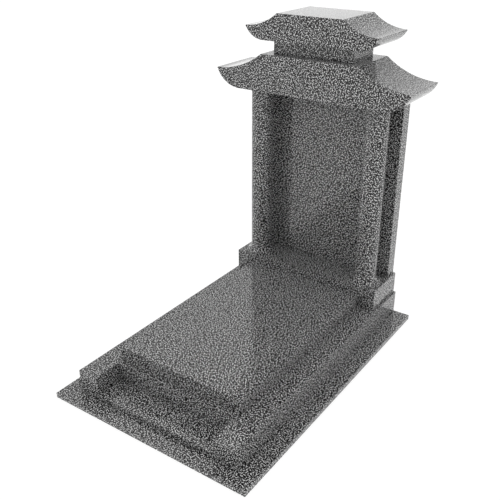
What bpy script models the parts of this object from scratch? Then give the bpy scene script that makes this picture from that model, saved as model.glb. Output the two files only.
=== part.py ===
"""Grave monument of polished granite: a kerbed grave with a ledger, and behind it a stele between
two round columns under a double roof with upturned eaves. The front faces -Y and +Z is up. The
origin is on the ground, in the middle of the whole monument. All sizes are in metres."""

from math import asin, cos, pi, sin

import bmesh
import bpy

# Joints and edges
BED_JOINT = 0.0003          # thickness of a bed joint, where one stone lies on another
SIDE_JOINT = 0.0005         # open joint between stones that stand side by side
ARRIS = 0.002               # width of the small chamfer along every sawn edge

# Base slab
BASE_WIDTH = 1.070
BASE_LENGTH = 1.570
BASE_THICKNESS = 0.025

# Kerb frame
KERB_SIDE_MARGIN = 0.090    # strip of the base slab left free beside the frame
KERB_FRONT_MARGIN = 0.075   # strip of the base slab left free in front of it
KERB_WIDTH = 0.110
KERB_HEIGHT = 0.120
STEP_DEPTH = 0.142
STEP_HEIGHT = 0.028

# Ledger
LEDGER_THICKNESS = 0.068
LEDGER_SETBACK = 0.032      # ledge of the cross kerb that stays free in front of the ledger
LEDGER_BEARING = 0.005      # how far the ledger lies on each side kerb

# Plinth
PLINTH_HEIGHT = 0.114
PLINTH_SIDE_INSET = 0.0125  # from the kerb frame's side to the plinth's

# Stele, flush with the plinth's back
STELE_THICKNESS = 0.072
STELE_HEIGHT = 0.947        # the columns are as high
STELE_SIDE_INSET = 0.0145   # from the plinth's side to the stele's

# Columns
COLUMN_RADIUS = 0.0575
FOOT_SPREAD = 0.0285        # how far the foot stands out from the shaft
FOOT_HEIGHT = 0.048
FOOT_LIP = 0.006            # upright band at the bottom of the foot
FOOT_FRONT_MARGIN = 0.002   # from the plinth's front to the foot
FOOT_SIDE_MARGIN = 0.0155   # from the plinth's side to the foot
FOOT_BACK_GAP = 0.012       # from the foot to the stele
COLUMN_SIDES = 64
FOOT_STEPS = 8

# Roofs
ROOF_FRONT_OVERHANG = 0.032  # in front of the plinth
ROOF_BACK_OVERHANG = 0.023   # behind the plinth
EAVE_NOSE = 0.004            # upright band at an eave's tip
EAVE_STEPS = 10
SLOPE_STEPS = 14

LOWER_ROOF_WIDTH = 1.070
LOWER_ROOF_HEIGHT = 0.187
LOWER_EAVE_REACH = 0.134     # length of the curved underside
LOWER_EAVE_RISE = 0.090      # from the flat underside up to the tip
LOWER_SLOPE_REACH = 0.268    # length of the hollow slope, seen from the front

UPPER_ROOF_WIDTH = 0.714
UPPER_ROOF_HEIGHT = 0.131
UPPER_EAVE_REACH = 0.100
UPPER_EAVE_RISE = 0.061
UPPER_SLOPE_REACH = 0.178

# Neck between the roofs
NECK_WIDTH = 0.437
NECK_HEIGHT = 0.066
NECK_FRONT_SETBACK = 0.046   # behind the roofs' front
NECK_BACK_SETBACK = 0.062    # before the roofs' back

# Heights of the beds, from the ground up
KERB_BED = BASE_THICKNESS + BED_JOINT
LEDGER_BED = KERB_BED + KERB_HEIGHT + BED_JOINT
PLINTH_BED = LEDGER_BED
COLUMN_BED = PLINTH_BED + PLINTH_HEIGHT + BED_JOINT
LOWER_ROOF_BED = COLUMN_BED + STELE_HEIGHT + BED_JOINT
NECK_BED = LOWER_ROOF_BED + LOWER_ROOF_HEIGHT + BED_JOINT
UPPER_ROOF_BED = NECK_BED + NECK_HEIGHT + BED_JOINT

# Planes across the monument, from the front to the back
BASE_FRONT = -(BASE_LENGTH + ROOF_BACK_OVERHANG) / 2
BASE_BACK = BASE_FRONT + BASE_LENGTH
KERB_FRONT = BASE_FRONT + KERB_FRONT_MARGIN
CROSS_KERB_FRONT = KERB_FRONT + STEP_DEPTH
LEDGER_FRONT = CROSS_KERB_FRONT + LEDGER_SETBACK
STELE_FRONT = BASE_BACK - STELE_THICKNESS
FOOT_RADIUS = COLUMN_RADIUS + FOOT_SPREAD
COLUMN_AXIS = STELE_FRONT - FOOT_BACK_GAP - FOOT_RADIUS
PLINTH_FRONT = COLUMN_AXIS - FOOT_RADIUS - FOOT_FRONT_MARGIN
ROOF_FRONT = PLINTH_FRONT - ROOF_FRONT_OVERHANG
ROOF_BACK = BASE_BACK + ROOF_BACK_OVERHANG

# Half widths, from the middle of the monument
KERB_OUTSIDE = BASE_WIDTH / 2 - KERB_SIDE_MARGIN
KERB_INSIDE = KERB_OUTSIDE - KERB_WIDTH
LEDGER_SIDE = KERB_INSIDE + LEDGER_BEARING
PLINTH_SIDE = KERB_OUTSIDE - PLINTH_SIDE_INSET
STELE_SIDE = PLINTH_SIDE - STELE_SIDE_INSET
COLUMN_OFFSET = PLINTH_SIDE - FOOT_SIDE_MARGIN - FOOT_RADIUS

FLAT_EDGE_ANGLE = 0.5        # radians: edges that fold less than this belong to a curve
GRANITE_COLOUR = (0.135, 0.135, 0.137, 1.0)
GRANITE_ROUGHNESS = 0.12


def clear_scene():
    """Removes what the scene holds at the start."""
    for old in list(bpy.data.objects):
        bpy.data.objects.remove(old)


def granite(name):
    """Polished granite for one stone."""
    material = bpy.data.materials.new(name + "_granite")
    material.use_nodes = True
    shader = material.node_tree.nodes["Principled BSDF"]
    shader.inputs["Base Color"].default_value = GRANITE_COLOUR
    shader.inputs["Roughness"].default_value = GRANITE_ROUGHNESS
    shader.inputs["Metallic"].default_value = 0.0
    return material


def stone(name, shape, place=(0.0, 0.0, 0.0)):
    """Turns a bmesh into a named stone with chamfered edges."""
    bmesh.ops.recalc_face_normals(shape, faces=shape.faces)
    mesh = bpy.data.meshes.new(name)
    shape.to_mesh(mesh)
    shape.free()
    mesh.materials.append(granite(name))
    finished = bpy.data.objects.new(name, mesh)
    finished.location = place
    bpy.context.scene.collection.objects.link(finished)
    chamfer = finished.modifiers.new("arris", "BEVEL")
    chamfer.width = ARRIS
    chamfer.segments = 1
    chamfer.limit_method = "ANGLE"
    chamfer.angle_limit = FLAT_EDGE_ANGLE
    return finished


def block(name, sides, front_back, bed, height):
    """A sawn block between two X planes and two Y planes, standing on its bed."""
    left, right = sides
    front, back = front_back
    shape = bmesh.new()
    bmesh.ops.create_cube(shape, size=1.0)
    bmesh.ops.scale(shape, vec=(right - left, back - front, height), verts=shape.verts)
    middle = ((left + right) / 2, (front + back) / 2, bed + height / 2)
    return stone(name, shape, middle)


def base_slab():
    half = BASE_WIDTH / 2
    block("base_slab", (-half, half), (BASE_FRONT, BASE_BACK), 0.0, BASE_THICKNESS)


def kerb_frame():
    """Two long side kerbs, with the step and two cross kerbs fitted between them."""
    length = (KERB_FRONT, BASE_BACK)
    block("left_kerb", (-KERB_OUTSIDE, -KERB_INSIDE), length, KERB_BED, KERB_HEIGHT)
    block("right_kerb", (KERB_INSIDE, KERB_OUTSIDE), length, KERB_BED, KERB_HEIGHT)
    half = KERB_INSIDE - SIDE_JOINT
    between = (-half, half)
    step = (KERB_FRONT, CROSS_KERB_FRONT - SIDE_JOINT)
    block("front_step", between, step, KERB_BED, STEP_HEIGHT)
    front = (CROSS_KERB_FRONT, CROSS_KERB_FRONT + KERB_WIDTH)
    block("front_cross_kerb", between, front, KERB_BED, KERB_HEIGHT)
    rear = (BASE_BACK - KERB_WIDTH, BASE_BACK)
    block("rear_cross_kerb", between, rear, KERB_BED, KERB_HEIGHT)


def ledger():
    length = (LEDGER_FRONT, PLINTH_FRONT - SIDE_JOINT)
    block("ledger", (-LEDGER_SIDE, LEDGER_SIDE), length, LEDGER_BED, LEDGER_THICKNESS)


def plinth():
    depth = (PLINTH_FRONT, BASE_BACK)
    block("plinth", (-PLINTH_SIDE, PLINTH_SIDE), depth, PLINTH_BED, PLINTH_HEIGHT)


def stele():
    depth = (STELE_FRONT, BASE_BACK)
    block("stele", (-STELE_SIDE, STELE_SIDE), depth, COLUMN_BED, STELE_HEIGHT)


def column_outline():
    """Half outline of a column from the bed up: lip, hollow flare of the foot, and shaft."""
    flare_height = FOOT_HEIGHT - FOOT_LIP
    outline = [(FOOT_RADIUS, 0.0)]
    for step in range(FOOT_STEPS + 1):
        turn = step / FOOT_STEPS * pi / 2
        radius = COLUMN_RADIUS + FOOT_SPREAD * (1 - sin(turn))
        outline.append((radius, FOOT_LIP + flare_height * (1 - cos(turn))))
    outline.append((COLUMN_RADIUS, STELE_HEIGHT))
    return outline


def column(name, offset):
    """A turned column: the outline swept round its axis and closed at both ends."""
    shape = bmesh.new()
    rings = []
    for radius, height in column_outline():
        ring = []
        for side in range(COLUMN_SIDES):
            turn = 2 * pi * side / COLUMN_SIDES
            ring.append(shape.verts.new((radius * cos(turn), radius * sin(turn), height)))
        rings.append(ring)
    for below, above in zip(rings, rings[1:]):
        for side in range(COLUMN_SIDES):
            after = (side + 1) % COLUMN_SIDES
            shape.faces.new((below[side], below[after], above[after], above[side]))
    shape.faces.new(reversed(rings[0]))
    shape.faces.new(rings[-1])
    turned = stone(name, shape, (offset, COLUMN_AXIS, COLUMN_BED))
    turned.data.shade_smooth()
    turned.data.set_sharp_from_angle(angle=FLAT_EDGE_ANGLE)


def eave_points(edge, reach, rise):
    """Underside of an eave on the right: an arc that leaves the flat bed level and climbs to the tip."""
    radius = (reach**2 + rise**2) / (2 * rise)
    end = asin(reach / radius)
    if rise > radius:
        end = pi - end
    points = []
    for step in range(EAVE_STEPS + 1):
        turn = end * step / EAVE_STEPS
        points.append((edge - reach + radius * sin(turn), radius * (1 - cos(turn))))
    return points


def slope_points(edge, reach, rise, height):
    """Top of a roof on the right: a hollow arc that leaves the tip level and climbs to the flat top."""
    climb = height - rise
    radius = (reach**2 + climb**2) / (2 * climb)
    end = asin(reach / radius)
    points = []
    for step in range(SLOPE_STEPS + 1):
        turn = end * step / SLOPE_STEPS
        points.append((edge - radius * sin(turn), rise + radius * (1 - cos(turn))))
    return points


def roof(name, bed, width, height, eave_reach, eave_rise, slope_reach):
    """A roof stone: its outline seen from the front, sawn straight through from front to back."""
    edge = width / 2
    right = eave_points(edge, eave_reach, eave_rise)
    right += slope_points(edge, slope_reach, eave_rise + EAVE_NOSE, height)
    left = [(-across, up) for across, up in reversed(right)]
    shape = bmesh.new()
    front = [shape.verts.new((across, ROOF_FRONT, up)) for across, up in right + left]
    face = shape.faces.new(front)
    swept = bmesh.ops.extrude_face_region(shape, geom=[face])
    moved = [item for item in swept["geom"] if isinstance(item, bmesh.types.BMVert)]
    bmesh.ops.translate(shape, vec=(0.0, ROOF_BACK - ROOF_FRONT, 0.0), verts=moved)
    cut = stone(name, shape, (0.0, 0.0, bed))
    cut.data.shade_smooth()
    cut.data.set_sharp_from_angle(angle=FLAT_EDGE_ANGLE)


def roofs():
    """The wide lower roof, the neck on it, and the smaller upper roof."""
    roof(
        "lower_roof",
        LOWER_ROOF_BED,
        LOWER_ROOF_WIDTH,
        LOWER_ROOF_HEIGHT,
        LOWER_EAVE_REACH,
        LOWER_EAVE_RISE,
        LOWER_SLOPE_REACH,
    )
    half = NECK_WIDTH / 2
    depth = (ROOF_FRONT + NECK_FRONT_SETBACK, ROOF_BACK - NECK_BACK_SETBACK)
    block("roof_neck", (-half, half), depth, NECK_BED, NECK_HEIGHT)
    roof(
        "upper_roof",
        UPPER_ROOF_BED,
        UPPER_ROOF_WIDTH,
        UPPER_ROOF_HEIGHT,
        UPPER_EAVE_REACH,
        UPPER_EAVE_RISE,
        UPPER_SLOPE_REACH,
    )


clear_scene()
base_slab()
kerb_frame()
ledger()
plinth()
stele()
column("left_column", -COLUMN_OFFSET)
column("right_column", COLUMN_OFFSET)
roofs()
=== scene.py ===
import math
import bpy
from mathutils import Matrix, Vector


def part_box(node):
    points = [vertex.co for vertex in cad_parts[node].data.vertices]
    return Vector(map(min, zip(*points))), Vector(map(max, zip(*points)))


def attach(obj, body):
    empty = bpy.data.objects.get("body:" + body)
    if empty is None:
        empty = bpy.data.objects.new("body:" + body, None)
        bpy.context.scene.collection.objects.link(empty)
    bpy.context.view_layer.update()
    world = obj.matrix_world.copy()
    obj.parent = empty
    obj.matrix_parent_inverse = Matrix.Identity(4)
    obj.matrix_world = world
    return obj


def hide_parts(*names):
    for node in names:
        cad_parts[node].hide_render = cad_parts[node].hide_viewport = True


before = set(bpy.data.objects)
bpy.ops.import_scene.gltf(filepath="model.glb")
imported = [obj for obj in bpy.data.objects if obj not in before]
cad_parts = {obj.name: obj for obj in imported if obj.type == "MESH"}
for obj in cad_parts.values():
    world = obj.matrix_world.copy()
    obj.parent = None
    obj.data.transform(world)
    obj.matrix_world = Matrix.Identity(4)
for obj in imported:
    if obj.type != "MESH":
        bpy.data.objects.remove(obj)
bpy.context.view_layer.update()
print("frame loaded:", len(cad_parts), "CAD nodes")


# helpers

def clearSelection():
    if bpy.context.mode != "OBJECT":
        bpy.ops.object.mode_set(mode="OBJECT")
    bpy.ops.object.select_all(action="DESELECT")


def pick(piece):  # makes one piece the only selected and the active one
    clearSelection()
    piece.select_set(True)
    bpy.context.view_layer.objects.active = piece


def selectFaces(piece, wanted):  # in edit mode, the faces that wanted(normal) accepts
    bpy.ops.object.mode_set(mode="OBJECT")
    mesh = piece.data
    for part in (mesh.vertices, mesh.edges, mesh.polygons):
        part.foreach_set("select", [False] * len(part))
    for face in mesh.polygons:
        face.select = wanted(face.normal)
    bpy.ops.object.mode_set(mode="EDIT")
    bpy.ops.mesh.select_mode(type="FACE")


def turnOutwards(piece):  # makes every face of a closed mesh point out
    pick(piece)
    bpy.ops.object.mode_set(mode="EDIT")
    bpy.ops.mesh.select_all(action="SELECT")
    bpy.ops.mesh.normals_make_consistent(inside=False)
    bpy.ops.object.mode_set(mode="OBJECT")


def hexColour(code):  # sRGB hex to the linear values that the shader works with
    channels = [int(code[i:i + 2], 16) / 255 for i in (1, 3, 5)]
    linear = [c / 12.92 if c <= 0.04045 else ((c + 0.055) / 1.055) ** 2.4 for c in channels]
    return linear + [1.0]


def addNode(tree, kind, settings=None, values=None, links=None):
    node = tree.nodes.new(kind)
    for name, value in (settings or {}).items():
        setattr(node, name, value)
    for name, value in (values or {}).items():
        node.inputs[name].default_value = value
    for name, source in (links or {}).items():
        tree.links.new(source, node.inputs[name])
    return node


edges = {
    "segments": 3,  # across each eased edge
    "sharpFrom": 30,  # degrees between two faces from which their edge is eased and shaded crisp
    "flatWeight": 100,  # keeps a large flat face evenly shaded up to its eased edges
}


def easeEdges(piece, width):
    bevel = piece.modifiers.new("arris", "BEVEL")
    bevel.width = width
    bevel.segments = edges["segments"]
    bevel.limit_method = "ANGLE"
    bevel.angle_limit = math.radians(edges["sharpFrom"])
    bevel.harden_normals = True
    pick(piece)
    bpy.ops.object.modifier_apply(modifier="arris")


def finishStone(piece, node, turn):  # shading, granite, and the body and CAD node it belongs to
    pick(piece)
    bpy.ops.object.shade_smooth_by_angle(angle=math.radians(edges["sharpFrom"]))
    weighted = piece.modifiers.new("flats", "WEIGHTED_NORMAL")
    weighted.keep_sharp = True
    weighted.weight = edges["flatWeight"]
    bpy.ops.object.modifier_apply(modifier="flats")
    piece.data.materials.clear()
    piece.data.materials.append(polishedGranite(node, turn))
    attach(piece, "root")
    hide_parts(node)


# polished grey granite: sawn, ground and polished, so the eye sees an even salt-and-pepper
# speckle under a smooth skin, which mirrors what stands near it at a shallow angle

granite = {
    "feldspar": "#d8d8d8",  # light grains
    "quartz": "#686868",  # smoky grains between them
    "pyroxene": "#000000",  # black grains
    "blackUpTo": 0.56,  # where in the noise each kind of grain starts
    "smokyFrom": 0.565,
    "lightFrom": 0.625,
    "patch": 6.0,  # mm; real grains of 2 to 3 mm are too fine to show, so they are drawn coarser
    "grit": 1.0,  # how much finer grain lies within a patch
    "ior": 1.45,
    "polish": 0.08,  # roughness
    "honed": 0.42,  # roughness of the backs, which are ground but not polished
    "grinding": "#8c8c8c",  # honed stone looks paler and duller
    "grindingShare": 0.3,
    "backFrom": 0.6,  # a face is a back when its normal points this far along Y
    "backFully": 0.8,
    "faceTurn": 45,  # degrees; a face turned further than this is speckled from another side
}


def polishedGranite(stone, turn):  # turn keeps two stones from showing the same speckle
    material = bpy.data.materials.new("polishedGranite_" + stone)
    material.use_nodes = True
    tree = material.node_tree
    shader = tree.nodes["Principled BSDF"]
    shader.inputs["IOR"].default_value = granite["ior"]
    place = addNode(tree, "ShaderNodeTexCoord")
    across = addNode(tree, "ShaderNodeSeparateXYZ", links={"Vector": place.outputs["Object"]})
    aspect = addNode(tree, "ShaderNodeSeparateXYZ", links={"Vector": place.outputs["Normal"]})

    # each face is speckled straight on, from the two directions that it spans
    # a Mix node's sockets go by number: 0 is the factor, 2 and 3 are numbers, 6 and 7 colours
    facing = addNode(tree, "ShaderNodeVectorMath", {"operation": "ABSOLUTE"},
                     links={0: place.outputs["Normal"]})
    faces = addNode(tree, "ShaderNodeSeparateXYZ", links={"Vector": facing.outputs["Vector"]})
    diagonal = math.cos(math.radians(granite["faceTurn"]))
    sideways = addNode(tree, "ShaderNodeMath", {"operation": "GREATER_THAN"}, {1: diagonal},
                       {0: faces.outputs["X"]})
    level = addNode(tree, "ShaderNodeMath", {"operation": "GREATER_THAN"}, {1: diagonal},
                    {0: faces.outputs["Z"]})
    u = addNode(tree, "ShaderNodeMix", {"data_type": "FLOAT"},
                links={0: sideways.outputs[0], 2: across.outputs["X"], 3: across.outputs["Y"]})
    v = addNode(tree, "ShaderNodeMix", {"data_type": "FLOAT"},
                links={0: level.outputs[0], 2: across.outputs["Z"], 3: across.outputs["Y"]})
    flat = addNode(tree, "ShaderNodeCombineXYZ", links={"X": u.outputs[0], "Y": v.outputs[0]})
    turned = addNode(tree, "ShaderNodeMapping",
                     values={"Location": (turn, turn / 2, 0), "Rotation": (0, 0, turn)},
                     links={"Vector": flat.outputs["Vector"]})
    grains = addNode(tree, "ShaderNodeTexNoise", {"noise_dimensions": "2D"},
                     {"Scale": 1000 / granite["patch"], "Detail": granite["grit"]},  # per metre
                     {"Vector": turned.outputs["Vector"]})
    speckle = addNode(tree, "ShaderNodeValToRGB", links={"Fac": grains.outputs["Fac"]})
    stops = speckle.color_ramp.elements
    stops[0].position, stops[0].color = granite["blackUpTo"], hexColour(granite["pyroxene"])
    stops[1].position, stops[1].color = granite["lightFrom"], hexColour(granite["feldspar"])
    stops.new(granite["smokyFrom"]).color = hexColour(granite["quartz"])

    # the backs
    back = addNode(tree, "ShaderNodeMapRange",
                   values={"From Min": granite["backFrom"], "From Max": granite["backFully"]},
                   links={"Value": aspect.outputs["Y"]})
    dusting = addNode(tree, "ShaderNodeMath", {"operation": "MULTIPLY"},
                      {1: granite["grindingShare"]}, {0: back.outputs["Result"]})
    colour = addNode(tree, "ShaderNodeMix", {"data_type": "RGBA"},
                     {7: hexColour(granite["grinding"])},
                     {0: dusting.outputs[0], 6: speckle.outputs["Color"]})
    finish = addNode(tree, "ShaderNodeMix", {"data_type": "FLOAT"},
                     {2: granite["polish"], 3: granite["honed"]}, {0: back.outputs["Result"]})
    tree.links.new(colour.outputs[2], shader.inputs["Base Color"])
    tree.links.new(finish.outputs[0], shader.inputs["Roughness"])
    return material


# sawn blocks

blocks = {
    "arris": 0.0012,  # width of the eased edges
    "turns": {
        "base_slab": 0.31,
        "left_kerb": 1.13,
        "right_kerb": 2.47,
        "front_step": 3.29,
        "front_cross_kerb": 4.61,
        "rear_cross_kerb": 5.17,
        "ledger": 6.83,
        "plinth": 7.39,
        "stele": 8.71,
        "roof_neck": 9.43,
    },
}


def sawnBlock(node, turn):
    low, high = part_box(node)
    clearSelection()
    bpy.ops.mesh.primitive_cube_add(size=1, location=(low + high) / 2, scale=high - low)
    block = bpy.context.object
    block.name = "stone_" + node
    bpy.ops.object.transform_apply(location=True, rotation=True, scale=True)
    easeEdges(block, blocks["arris"])
    finishStone(block, node, turn)


for node, turn in blocks["turns"].items():
    sawnBlock(node, turn)
print("blocks made:", len(blocks["turns"]))


# columns

column = {
    "shaft": 0.0575,  # radius
    "spread": 0.0285,  # of the foot beyond the shaft
    "foot": 0.048,  # height
    "lip": 0.006,  # height of the foot's upright rim
    "sides": 96,
    "steps": 16,  # rings from the lip up to the shaft
    "arris": 0.0015,
    "turns": {"left_column": 10.37, "right_column": 11.59},
}


def footRings():  # (radius, height) of each ring from the lip up to the shaft
    rise = column["foot"] - column["lip"]
    rings = []
    for step in range(column["steps"] + 1):
        turn = step / column["steps"] * math.pi / 2
        rings.append((column["shaft"] + column["spread"] * (1 - math.sin(turn)),
                      column["lip"] + rise * (1 - math.cos(turn))))
    return rings


def turnedColumn(node):
    low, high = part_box(node)
    x, y = (low.x + high.x) / 2, (low.y + high.y) / 2
    radius, height = column["shaft"] + column["spread"], 0.0
    clearSelection()
    bpy.ops.mesh.primitive_circle_add(vertices=column["sides"], radius=radius,
                                      fill_type="NGON", location=(x, y, low.z))
    turned = bpy.context.object
    turned.name = "stone_" + node
    bpy.ops.object.mode_set(mode="EDIT")
    bpy.ops.mesh.select_all(action="SELECT")
    for ringRadius, ringHeight in footRings() + [(column["shaft"], high.z - low.z)]:
        climb = (0, 0, ringHeight - height)
        bpy.ops.mesh.extrude_region_move(TRANSFORM_OT_translate={"value": climb})
        if ringRadius != radius:
            share = ringRadius / radius
            bpy.ops.transform.resize(value=(share, share, 1),
                                     center_override=(x, y, low.z + ringHeight))
        radius, height = ringRadius, ringHeight
    turnOutwards(turned)
    bpy.ops.object.transform_apply(location=True, rotation=True, scale=True)
    easeEdges(turned, column["arris"])
    return turned


def copyColumn(made, fromNode, toNode):  # the copy has its own mesh
    twin = made.copy()
    twin.data = made.data.copy()
    bpy.context.scene.collection.objects.link(twin)
    twin.name = "stone_" + toNode
    pick(twin)
    bpy.ops.transform.translate(value=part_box(toNode)[0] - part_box(fromNode)[0])
    bpy.ops.object.transform_apply(location=True, rotation=True, scale=True)
    return twin


leftColumn = turnedColumn("left_column")
rightColumn = copyColumn(leftColumn, "left_column", "right_column")
finishStone(leftColumn, "left_column", column["turns"]["left_column"])
finishStone(rightColumn, "right_column", column["turns"]["right_column"])
print("columns made:", len(column["turns"]))


# roofs

roofs = {
    "lower_roof": {"eaveReach": 0.134, "eaveRise": 0.090, "slopeReach": 0.268, "turn": 12.73},
    "upper_roof": {"eaveReach": 0.100, "eaveRise": 0.061, "slopeReach": 0.178, "turn": 13.91},
}
roofCurve = {
    "nose": 0.004,  # thickness of the stone at the tip of the eaves
    "arris": 0.0015,
    "eaveSteps": 14,  # sections along the eaves' curve
    "slopeSteps": 20,  # sections along the slope's curve
    "gap": 0.004,  # two sections stand further apart than this
    "decimals": 5,  # sections are set to 0.01 mm
    "shortest": 0.001,  # a section nearer than this to the flat middle is left out
    "endFacing": 0.9,  # a face is an end when its normal points this far along X
    "weld": 0.0001,  # within which the two halves are joined
}


def roofSections(edge, eaveReach, slopeReach):  # each section's distance from the middle
    places = set()
    for step in range(1, roofCurve["eaveSteps"] + 1):
        turn = step / roofCurve["eaveSteps"] * math.pi / 2
        places.add(round(edge - eaveReach + eaveReach * math.sin(turn), roofCurve["decimals"]))
    for step in range(1, roofCurve["slopeSteps"] + 1):
        places.add(round(edge - slopeReach * step / roofCurve["slopeSteps"],
                         roofCurve["decimals"]))
    kept = [edge]
    for place in sorted(places, reverse=True):
        if kept[-1] - place > roofCurve["gap"]:
            kept.append(place)
    return sorted(kept)


def curvedRoof(node, eaveReach, eaveRise, slopeReach, turn):
    low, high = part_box(node)
    edge, height, depth = high.x, high.z - low.z, high.y - low.y
    yMiddle = (low.y + high.y) / 2
    climb = height - eaveRise - roofCurve["nose"]
    eaveRadius = (eaveReach ** 2 + eaveRise ** 2) / (2 * eaveRise)
    slopeRadius = (slopeReach ** 2 + climb ** 2) / (2 * climb)

    def heights(x):  # of the underside and the top at that distance from the middle
        out = max(0.0, x - (edge - eaveReach))
        back = min(edge - x, slopeReach)
        under = eaveRadius - math.sqrt(eaveRadius ** 2 - out ** 2)
        rise = slopeRadius - math.sqrt(slopeRadius ** 2 - back ** 2)
        return low.z + under, low.z + eaveRise + roofCurve["nose"] + rise

    # the right half grows outwards from its flat middle, section by section
    flat = edge - slopeReach
    clearSelection()
    bpy.ops.mesh.primitive_cube_add(size=1, location=(flat / 2, yMiddle, (low.z + high.z) / 2),
                                    scale=(flat, depth, height))
    roof = bpy.context.object
    roof.name = "stone_" + node
    bpy.ops.object.transform_apply(location=True, rotation=True, scale=True)
    selectFaces(roof, lambda normal: normal.x < -roofCurve["endFacing"])
    bpy.ops.mesh.delete(type="ONLY_FACE")
    selectFaces(roof, lambda normal: normal.x > roofCurve["endFacing"])
    here, (under, top) = flat, heights(flat)
    for x in roofSections(edge, eaveReach, slopeReach):
        if x - here < roofCurve["shortest"]:
            continue
        newUnder, newTop = heights(x)
        bpy.ops.mesh.extrude_region_move(TRANSFORM_OT_translate={"value": (x - here, 0, 0)})
        bpy.ops.transform.resize(value=(1, 1, (newTop - newUnder) / (top - under)),
                                 center_override=(x, yMiddle, under))
        bpy.ops.transform.translate(value=(0, 0, newUnder - under))
        here, under, top = x, newUnder, newTop

    # the left half mirrors it
    bpy.ops.object.mode_set(mode="OBJECT")
    mirror = roof.modifiers.new("otherHalf", "MIRROR")
    mirror.merge_threshold = roofCurve["weld"]
    bpy.ops.object.modifier_apply(modifier="otherHalf")
    turnOutwards(roof)
    easeEdges(roof, roofCurve["arris"])
    finishStone(roof, node, turn)


for node, size in roofs.items():
    curvedRoof(node, **size)
print("roofs made:", len(roofs))


# floor, light and camera

studio = {
    "floorSize": 120.0,
    "floorDrop": 0.001,  # below the base slab, so that the two don't share a plane
    "floorColour": "#808080",
    "floorRoughness": 1.0,
    "floorGlow": 0.84,
    "white": "#ffffff",
    "horizonGlow": 1.6,  # a bright band round the horizon whitens eaves that are seen edge on
    "skyGlow": 1.0,
    "bandTop": 0.25,  # where the band has faded into the sky, as the sine of its height
    "dimGlow": 0.0,  # low in front the sky is dark, as the photograph's shadows show
    "dimSide": (0.42, -0.76, -0.50),
    "dimEdge": 0.47,  # how near that side the sky starts to darken, as a cosine
    "dimHeart": 0.68,
}


def paleFloor():
    clearSelection()
    bpy.ops.mesh.primitive_plane_add(size=studio["floorSize"],
                                     location=(0, 0, -studio["floorDrop"]))
    floor = bpy.context.object
    floor.name = "floor"
    material = bpy.data.materials.new("paleFloor")
    material.use_nodes = True
    shader = material.node_tree.nodes["Principled BSDF"]
    shader.inputs["Base Color"].default_value = hexColour(studio["floorColour"])
    shader.inputs["Roughness"].default_value = studio["floorRoughness"]
    shader.inputs["Emission Color"].default_value = hexColour(studio["white"])
    shader.inputs["Emission Strength"].default_value = studio["floorGlow"]
    floor.data.materials.append(material)


def softSky():
    world = bpy.data.worlds.new("softSky")
    bpy.context.scene.world = world
    world.use_nodes = True
    tree = world.node_tree
    shader = tree.nodes["Background"]
    shader.inputs["Color"].default_value = hexColour(studio["white"])
    toward = addNode(tree, "ShaderNodeTexCoord")
    upward = addNode(tree, "ShaderNodeSeparateXYZ", links={"Vector": toward.outputs["Generated"]})
    height = addNode(tree, "ShaderNodeMapRange",
                     values={"From Max": studio["bandTop"], "To Min": studio["horizonGlow"],
                             "To Max": studio["skyGlow"]},
                     links={"Value": upward.outputs["Z"]})
    side = addNode(tree, "ShaderNodeVectorMath", {"operation": "DOT_PRODUCT"},
                   {1: studio["dimSide"]}, {0: toward.outputs["Generated"]})
    fade = addNode(tree, "ShaderNodeMapRange", {"interpolation_type": "SMOOTHSTEP"},
                   {"From Min": studio["dimEdge"], "From Max": studio["dimHeart"],
                    "To Max": studio["dimGlow"]},
                   {"Value": side.outputs["Value"], "To Min": height.outputs["Result"]})

    # the dark side lights the stones but isn't itself seen behind them
    seen = addNode(tree, "ShaderNodeLightPath")
    backdrop = addNode(tree, "ShaderNodeMix", {"data_type": "FLOAT"},
                       {3: studio["horizonGlow"]},
                       {0: seen.outputs["Is Camera Ray"], 2: fade.outputs["Result"]})
    tree.links.new(backdrop.outputs[0], shader.inputs["Strength"])


photoView = {
    "place": (1.6782, -2.4101, 2.0535),
    "tilt": 63.5213,  # degrees
    "turn": 34.7549,
    "lens": 50,  # mm
    "sensor": 36,
    "nearest": 0.05,
    "farthest": 300,
}


def photoCamera():
    lens = bpy.data.cameras.new("photoCamera")
    lens.lens = photoView["lens"]
    lens.sensor_width = photoView["sensor"]
    lens.clip_start, lens.clip_end = photoView["nearest"], photoView["farthest"]
    camera = bpy.data.objects.new("photoCamera", lens)
    bpy.context.scene.collection.objects.link(camera)
    camera.location = photoView["place"]
    camera.rotation_euler = (math.radians(photoView["tilt"]), 0, math.radians(photoView["turn"]))
    bpy.context.scene.camera = camera


paleFloor()
softSky()
photoCamera()
bpy.context.scene.view_settings.view_transform = "Standard"  # the photograph's white is white
print("stage made")

clearSelection()
bpy.context.view_layer.update()
